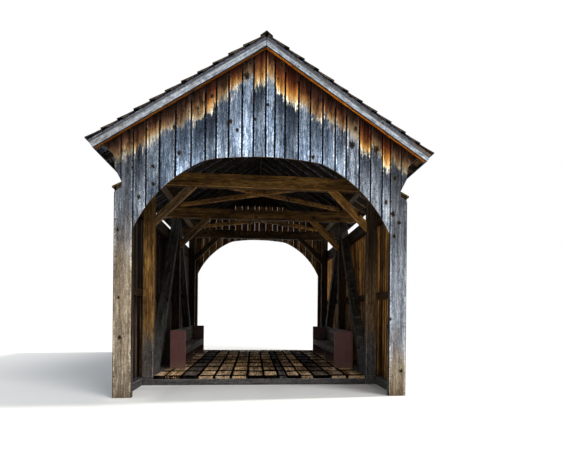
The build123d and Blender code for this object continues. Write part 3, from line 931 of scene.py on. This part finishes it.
def gable_boards(boards, nails, edges, end, rows):
    """The boards over the opening, from left to right, with their nails and the rear gable's cover strips."""
    out = (0, end, 0)
    front = end < 0
    left = -HALF_OPENING
    for right, pale, warm, stain, jag, orange in rows:
        gap = chance.uniform(0.010, 0.015) if front else chance.uniform(0.003, 0.0045)
        if abs(right) > 1.9:
            gap = 0.004
        start = left + (0.002 if left == -HALF_OPENING else gap / 2)
        stop = right - (0.002 if right == HALF_OPENING else gap / 2)
        width = stop - start
        slip = chance.uniform(-0.003, 0.003)

        def low(u, start=start, slip=slip):
            x = min(max(start + u, -HALF_OPENING + 0.002), HALF_OPENING - 0.002)
            return crossings(edges, x + 0.00013)[0] + slip

        def high(u, start=start):
            return roof_line(start + u)

        place = axes((start, end * (FACE - BOARD), 0), (1, 0, 0), out, (0, 0, 1))
        boards.board(place, width, BOARD, low, high, (pale, warm, orange), columns=max(4, int(width / 0.02)),
                     rows=16, chamfer=0.004 if front else 0.002, cup=chance.uniform(-0.0015, 0.002),
                     sway=0.002 if front else 0.0, mark=(stain, jag, 0.0))
        for share in (0.22, 0.78):
            x = start + width * share
            nails.nail((x, end * FACE, high(width * share) - 0.075), out)
            if abs(x) < 2.0:
                nails.nail((x, end * FACE, ARCH_NAILS + chance.uniform(-0.02, 0.02)), out)
        top = RIDGE - abs(right) * math.tan(PITCH) - 0.14
        if not front and top > COVERED + 0.05:
            cover = axes((right - 0.03, end * (FACE - BOARD - 0.010), 0), (1, 0, 0), out, (0, 0, 1))
            boards.board(cover, 0.06, 0.009, COVERED, top, (0.4, -0.8, 0.3), columns=2, rows=2)
        left = right


def leg_and_cheek(boards, nails, edges, end, side):
    """One leg, as two boards of the same wood, and the cheek above its notch, with the leg's nails."""
    cool = side * end < 0
    tone = (0.36, 0.34, 0.20) if cool else (0.26, 0.36, 0.20)
    mark = (0.45, 0.2, 0.27) if cool else (0.30, 0.2, 0.72)
    heart = wood_heart()
    seam = CHEEK_SEAM - HALF_OPENING

    def placed(x):
        return axes((side * x, end * (FACE - BOARD), 0), (side, 0, 0), (0, end, 0), (0, 0, 1))

    def meets(x, which):
        return crossings(edges, side * (x + 0.0001))[which]

    boards.board(placed(HALF_OPENING), seam, BOARD, 0.002, lambda u: roof_line(HALF_OPENING + u), tone,
                 columns=6, rows=18, chamfer=0.004, heart=heart, sides=(True, False), sway=0.0, mark=mark)
    boards.board(placed(CHEEK_SEAM), HALF_WIDTH - CHEEK_SEAM, BOARD, 0.002,
                 lambda u: meets(CHEEK_SEAM + min(u, 0.115), 1) - 0.006 - 0.25 * u, tone, columns=4, rows=14,
                 chamfer=0.004, heart=heart + Vector((seam, 0, 0)), sides=(False, True), sway=0.0, mark=mark)
    start = CHEEK_SEAM + 0.003
    reach = max(x for edge in edges for x, z in edge) - 0.001
    boards.board(placed(start), reach - start, BOARD,
                 lambda u: meets(start + min(u, reach - start - 0.001), -2), lambda u: roof_line(start + u),
                 (0.45, 0.34, 0.15), rows=8, chamfer=0.004, sway=0.0, mark=(0.3, 0.2, 0.0),
                 turns=[x - start for x in CHEEK_TURNS])
    for z in LEG_NAILS:
        for place in LEG_NAIL_PLACES:
            x = side * (place + chance.uniform(-0.01, 0.01))
            nails.nail((x, end * FACE, z + chance.uniform(-0.02, 0.02)), (0, end, 0))


def portal_boards(name, node, end, rows):
    """The boards of one portal, with the legs and cheeks, on the outline of the CAD node."""
    boards, nails = Boards(), Boards()
    edges = outline_of(node, end * FACE)
    gable_boards(boards, nails, edges, end, rows)
    for side in (-1, 1):
        leg_and_cheek(boards, nails, edges, end, side)
    boards.make(name, siding, "weathered_boards", [node])
    nails.make(name + "_nails", iron)


def random_rows():
    """Board rows like the front ones, for the rear portal."""
    rows, x = [], -HALF_OPENING
    for middle in (0.0, HALF_OPENING):
        while x < middle - 0.001:
            x = middle if middle - x < 0.29 else x + chance.uniform(0.16, 0.25)
            rows.append((x, chance.uniform(0.25, 0.8), chance.uniform(0.3, 0.62), chance.random(),
                         chance.uniform(0.05, 0.35), chance.random()))
    return rows


# Side walls

RAIL_NAILS = (0.07, 1.77, 3.36)


def side_wall(side, name, node):
    """Upright boards with narrow light gaps, nailed to the three rails. The right wall is given more painted
    light inside, and its outer faces are painted darker to offset the side lamp.
    """
    boards, nails = Boards(), Boards()
    right = side > 0
    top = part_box(node)[1].z
    for y, width in widths(-WALL_HALF_LENGTH, WALL_HALF_LENGTH, 0.175, 0.225, 0.08):
        gap = chance.uniform(0.012, 0.022) if right else chance.uniform(0.007, 0.015)
        place = axes((side * WALL_INNER, y + gap / 2, 0), (0, 1, 0), (side, 0, 0), (0, 0, 1))
        # painted shade: the right wall's outer boards are made darker where the side lamp falls on them
        tone = (chance.uniform(0.2, 0.85) * (0.45 if right else 1.0), -0.8,
                chance.uniform(0.0, 0.5) * (1.0 if right else 0.2))
        # painted light: each board's light on its inner face, strong on the right wall and faint on the left
        light = chance.uniform(0.75, 2.9) if right else 0.45 * chance.random() ** 3
        boards.board(place, width - gap, BOARD, chance.uniform(0.002, 0.012),
                     top - chance.uniform(0.0, 0.004), tone, columns=4, rows=12,
                     cup=chance.uniform(-0.002, 0.002), sway=0.003, mark=(0.0, light, 0.0))
        for z in RAIL_NAILS:
            for share in (0.2, 0.8):
                along = y + gap / 2 + (width - gap) * share
                nails.nail((side * HALF_WIDTH, along, z + chance.uniform(-0.025, 0.025)), (side, 0, 0))
    boards.make(name, siding, "weathered_boards", [node])
    nails.make(name + "_nails", iron)


# Roof

def slope_axes(side, down):
    """Directions on a slope: down it (1) or up it (-1), and out of it."""
    ridge = on_slope(side, 0, 0, 0)
    return on_slope(side, down, 0, 0) - ridge, on_slope(side, 0, 1, 0) - ridge


def roof_sheathing(side, name, node):
    """Sheathing boards along the bridge, from the ridge to the eave."""
    boards = Boards()
    low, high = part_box(node)
    for down, width in widths(0.004, EAVE, 0.17, 0.22, 0.06):
        place = axes(on_slope(side, down + 0.0004, 0.0, low.y), *slope_axes(side, 1), (0, 1, 0))
        tone = (chance.uniform(0.1, 0.9), 0.5, chance.random())
        boards.board(place, width - 0.0008, SHEATHING - 0.001, 0.0, high.y - low.y, tone, columns=2, rows=14,
                     chamfer=0.002, sway=0.0)
    boards.make(name, sheathing, "fresh_wood", [node])


def shakes(side, name, node):
    """Split shakes in courses. Each course lies on the head of the one below."""
    boards = Boards()
    along, lift = slope_axes(side, -1)
    for course in range(COURSES):
        butt = SHAKE_TIP - course * EXPOSURE
        head = min(EXPOSURE + SHAKE_HIDDEN, butt - 0.012)
        for y, width in widths(-ROOF_REACH, ROOF_REACH, 0.09, 0.20, 0.05):
            gap = chance.uniform(0.003, 0.007)
            slip = chance.uniform(0.0, 0.016)
            thick = SHAKE_TOP - SHAKE_BED - chance.uniform(0.0, 0.006)
            ridges = [chance.uniform(-0.0035, 0.0) for _ in range(SHAKE_COLUMNS + 1)]
            place = axes(on_slope(side, butt - slip, SHAKE_BED, y + gap / 2), (0, 1, 0), lift, along)
            tone = (chance.random(), 0.5, chance.random())
            shake(boards, place, width - gap, head, ridges, thick, tone)
    boards.make(name, shake_wood, "roof_shakes", [node])


def shake(boards, place, width, length, ridges, thick, tone):
    """One shake: split ridges on top, thin at its head, its underside on the course below."""
    heart = wood_heart()
    start = len(boards.points)
    butt = SHAKE_TOP - SHAKE_BED
    runs = (0.0, 0.35, 0.75, EXPOSURE / length, 1.0) if length > EXPOSURE + 0.05 else (0.0, 0.35, 0.75, 1.0)
    for run in runs:
        v = run * length
        under = max(-0.024, -0.024 * v / EXPOSURE)
        for k, ridge in enumerate(ridges):
            u = width * k / SHAKE_COLUMNS
            if v < EXPOSURE:
                w = butt * (1 - v / EXPOSURE) + ridge + thick - butt
            else:
                w = -0.021 * (v - EXPOSURE) / EXPOSURE - 0.001
            spot = place @ Vector((u, max(w, under + 0.001), v))
            boards.point(spot, (heart.x + u, heart.y + w, heart.z + v), tone, 1.0, min(1.0, 0.25 + v / 0.05))
        for u in (width, 0.0):
            spot = place @ Vector((u, under, v))
            boards.point(spot, (heart.x + u, heart.y + under, heart.z + v), tone, 0.0, 0.3)
    count = SHAKE_COLUMNS + 3
    for ring in range(len(runs) - 1):
        boards.band(start + ring * count, count)
    boards.face([start + k for k in range(count)], 1.0)
    boards.face([start + (len(runs) - 1) * count + k for k in range(count)], 0.0)


def cap_shakes():
    """Short shakes along the ridge, lapped one on the next and mitred over the middle."""
    boards = Boards()
    low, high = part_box("ridge_cap")
    lap = (high.y - low.y) / CAP_COUNT
    for side in (-1, 1):
        across = (side * CAP_REACH, 0.0, CAP_EDGE - CAP_MIDDLE)
        for k in range(CAP_COUNT):
            origin = Vector((0.0, low.y + k * lap, CAP_MIDDLE)) + Vector((0.0, 0.0, CAP_LIFT))
            place = axes(origin, across, (0, 0, 1), (0, 1, -CAP_LIFT / lap))
            tone = (chance.random() * 0.5, 0.5, chance.random())
            stain = 0.9 if k in (0, CAP_COUNT - 1) else 0.3
            boards.board(place, 0.138 - chance.uniform(0.0, 0.008), 0.032, 0.0, lap + 0.010, tone, columns=3,
                         rows=2, chamfer=0.003, sides=(False, True), sway=0.0, mark=(stain, 0.5, 0.0))
    boards.make("ridge_cap_shakes", shake_wood, "roof_shakes", ["ridge_cap"])


# Deck

PLANK_EDGES = (-2.08, -1.88, -1.56, -1.24, -0.92, -0.60, -0.28, 0.04, 0.33, 0.50, 0.76, 1.03, 1.36, 1.70,
               2.08)
# Planks painted darker, standing for the shadow bands that fall across the deck.
PLANKS_IN_PAINTED_SHADOW = (-1.56, 0.33, 1.03)


def deck_planks():
    """Planks along the bridge, butted over the joists, with a pair of nails at each joist."""
    boards, nails = Boards(), Boards()
    for left, right in zip(PLANK_EDGES, PLANK_EDGES[1:]):
        y = -DECK_HALF_LENGTH
        while y < DECK_HALF_LENGTH - 0.01:
            spans = chance.choice((1, 1, 2, 2, 3))
            stop = round((y + spans * JOIST_SPACING) / JOIST_SPACING) * JOIST_SPACING
            if stop > DECK_HALF_LENGTH - 0.5:
                stop = DECK_HALF_LENGTH
            gap = chance.uniform(0.014, 0.022)
            place = axes((left + gap / 2, 0, DECK_TOP - DECK_THICK), (1, 0, 0), (0, 0, 1), (0, 1, 0))
            far = min(1.0, max(0.0, (y + 1.0) / 4.0))
            tone = (chance.uniform(0.2, 0.85), 0.5, chance.uniform(0.0, 0.35) + far * 0.6)
            # painted shadow: the listed planks get a strong dark mark
            mark = (0.8 if left in PLANKS_IN_PAINTED_SHADOW else 0.0, chance.random(), 0.0)
            boards.board(place, right - left - gap, DECK_THICK, y + 0.004, stop - 0.004, tone, columns=5,
                         rows=max(3, int((stop - y) / 0.3)), chamfer=0.004, cup=chance.uniform(-0.002, 0.001),
                         sway=0.003, mark=mark)
            y = stop
        for joist in range(-4, 5):
            for share in (0.18, 0.82):
                for shift in (-0.022, 0.022):
                    spot = (left + (right - left) * share, joist * JOIST_SPACING + shift, DECK_TOP)
                    nails.nail(spot, (0, 0, 1), 0.006)
    boards.make("deck_plank_rows", deck_wood, "deck_planks", ["deck"])
    nails.make("deck_nails", iron)


# Stage

def camera():
    """The view of the photograph: its place, its turn and its frame, from the points solved together."""
    stand = (-0.1765, -14.4133, 1.4185)
    turn, roll = 0.1144, 0.0096
    focal, middle_x, middle_y = 541.71, 315.62, 312.96
    wide, high = 561.0, 450.0
    data = bpy.data.cameras.new("view")
    data.sensor_fit = "HORIZONTAL"
    data.sensor_width = 36.0
    data.lens = focal * data.sensor_width / wide
    data.shift_x = 0.5 - middle_x / wide
    data.shift_y = (middle_y - high / 2) / wide
    data.clip_end = 200.0
    right = Vector((math.cos(turn), -math.sin(turn), 0.0))
    ahead = Vector((math.sin(turn), math.cos(turn), 0.0))
    up = Vector((0.0, 0.0, 1.0))
    view = bpy.data.objects.new("view", data)
    bpy.context.scene.collection.objects.link(view)
    view.matrix_world = axes(stand, right * math.cos(roll) + up * math.sin(roll),
                             up * math.cos(roll) - right * math.sin(roll), -ahead)
    bpy.context.scene.camera = view


def lamp(name, strength, angle, azimuth, height, colour):
    """A soft far lamp. azimuth turns from the front (-Y) to the right (+X), in degrees."""
    data = bpy.data.lights.new(name, "SUN")
    data.energy = strength
    data.angle = math.radians(angle)
    data.color = colour
    made = bpy.data.objects.new(name, data)
    turn, rise = math.radians(azimuth), math.radians(height)
    source = Vector((math.sin(turn) * math.cos(rise), -math.cos(turn) * math.cos(rise), math.sin(rise)))
    made.rotation_euler = source.to_track_quat("Z", "Y").to_euler()
    bpy.context.scene.collection.objects.link(made)


def surroundings():
    """An even pale world that shows white behind the bridge, and a pale floor that fades into it."""
    world = bpy.data.worlds.new("studio")
    bpy.context.scene.world = world
    world.use_nodes = True
    nodes, links = world.node_tree.nodes, world.node_tree.links
    light = nodes["Background"]
    light.inputs["Color"].default_value = (0.90, 0.95, 1.0, 1.0)
    light.inputs["Strength"].default_value = 0.62
    shown = nodes.new("ShaderNodeBackground")
    shown.inputs["Color"].default_value = (1.0, 1.0, 1.0, 1.0)
    path = nodes.new("ShaderNodeLightPath")
    either = nodes.new("ShaderNodeMath")
    either.operation = "MAXIMUM"
    links.new(path.outputs["Is Camera Ray"], either.inputs[0])
    links.new(path.outputs["Is Glossy Ray"], either.inputs[1])
    blend = nodes.new("ShaderNodeMixShader")
    links.new(either.outputs[0], blend.inputs["Fac"])
    links.new(light.outputs[0], blend.inputs[1])
    links.new(shown.outputs[0], blend.inputs[2])
    links.new(blend.outputs[0], nodes["World Output"].inputs["Surface"])

    reach = 60.0
    mesh = bpy.data.meshes.new("floor")
    corners = [(-reach, -reach, 0), (reach, -reach, 0), (reach, reach, 0), (-reach, reach, 0)]
    mesh.from_pydata(corners, [], [(0, 1, 2, 3)])
    floor = bpy.data.objects.new("floor", mesh)
    bpy.context.scene.collection.objects.link(floor)
    pale = Shader("pale_floor")
    spot = pale.place()
    away = pale.length(spot[0], spot[1] * 0.7)
    fade = away.span(5.0, 16.0) * pale.node("LightPath").outputs["Is Camera Ray"]
    glow = pale.node("Emission", {"Color": (1.0, 1.0, 1.0, 1.0), "Strength": 1.0})
    mixed = pale.node("MixShader", {0: fade, 1: pale.surface.outputs[0], 2: glow.outputs[0]})
    pale.tree.links.new(mixed.outputs[0], pale.tree.nodes["Material Output"].inputs["Surface"])
    pale.surface.inputs["Base Color"].default_value = (0.80, 0.80, 0.79, 1.0)
    pale.surface.inputs["Roughness"].default_value = 0.9
    mesh.materials.append(pale.material)
    floor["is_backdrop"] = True


# Making

siding = siding_material()
timber = timber_material()
fresh = fresh_material()
sheathing = sheathing_material()
rake = rake_material()
shake_wood = shake_material()
deck_wood = deck_material()
ledge = ledge_material()
painted = painted_material()
bench_wood = bench_material()
iron = iron_material()

portal_boards("front_portal_boards", "front_portal_siding", -1, FRONT_BOARDS)
portal_boards("rear_portal_boards", "rear_portal_siding", 1, random_rows())
for side, word in ((-1, "left"), (1, "right")):
    side_wall(side, word + "_wall_boards", word + "_wall_siding")
    roof_sheathing(side, word + "_sheathing_boards", word + "_roof_sheathing")
    shakes(side, word + "_shake_courses", word + "_roof_shakes")
cap_shakes()
deck_planks()

# the front posts carry a full mark, which paints shade on them towards their tops
dress(["front_posts"], timber, "frame_timber", 0.010, post_tone, (1.0, 0.5, 0.0))
for nodes, tone in TIMBER_TONES:
    dress(nodes, timber, "frame_timber", 0.010, tone)
dress(both("rafters"), timber, "frame_timber", 0.004, (0.30, 0.75, 0.0))
dress(["ridge_board"], timber, "frame_timber", 0.004, (0.0, 0.9, 0.0))
dress(["fly_rafters"], fresh, "fresh_wood", 0.004, fly_tone)
dress(["front_rake_boards", "rear_rake_boards"], rake, "rake_wood", 0.002)
dress(["eave_fascias"], rake, "rake_wood", 0.004)
dress(both("wall_ledge"), ledge, "ledge_wood", 0.003)
dress(both("bench_ends"), painted, "painted_wood", 0.003, bench_end_tone)
for word, pale in (("seat", 0.30), ("back", 0.55), ("apron", 0.10)):
    dress(both("bench_" + word), bench_wood, "bench_wood", 0.004, (pale, 0.5, 0.2))

camera()
lamp("front_key", 1.7, 28, 35, 42, (1.0, 0.98, 0.95))
lamp("side_key", 3.2, 5, 97, 39, (1.0, 0.95, 0.87))
surroundings()
bpy.context.scene.view_settings.view_transform = "Standard"

[[list(corner) for corner in box] for box in (cad_box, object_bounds())]
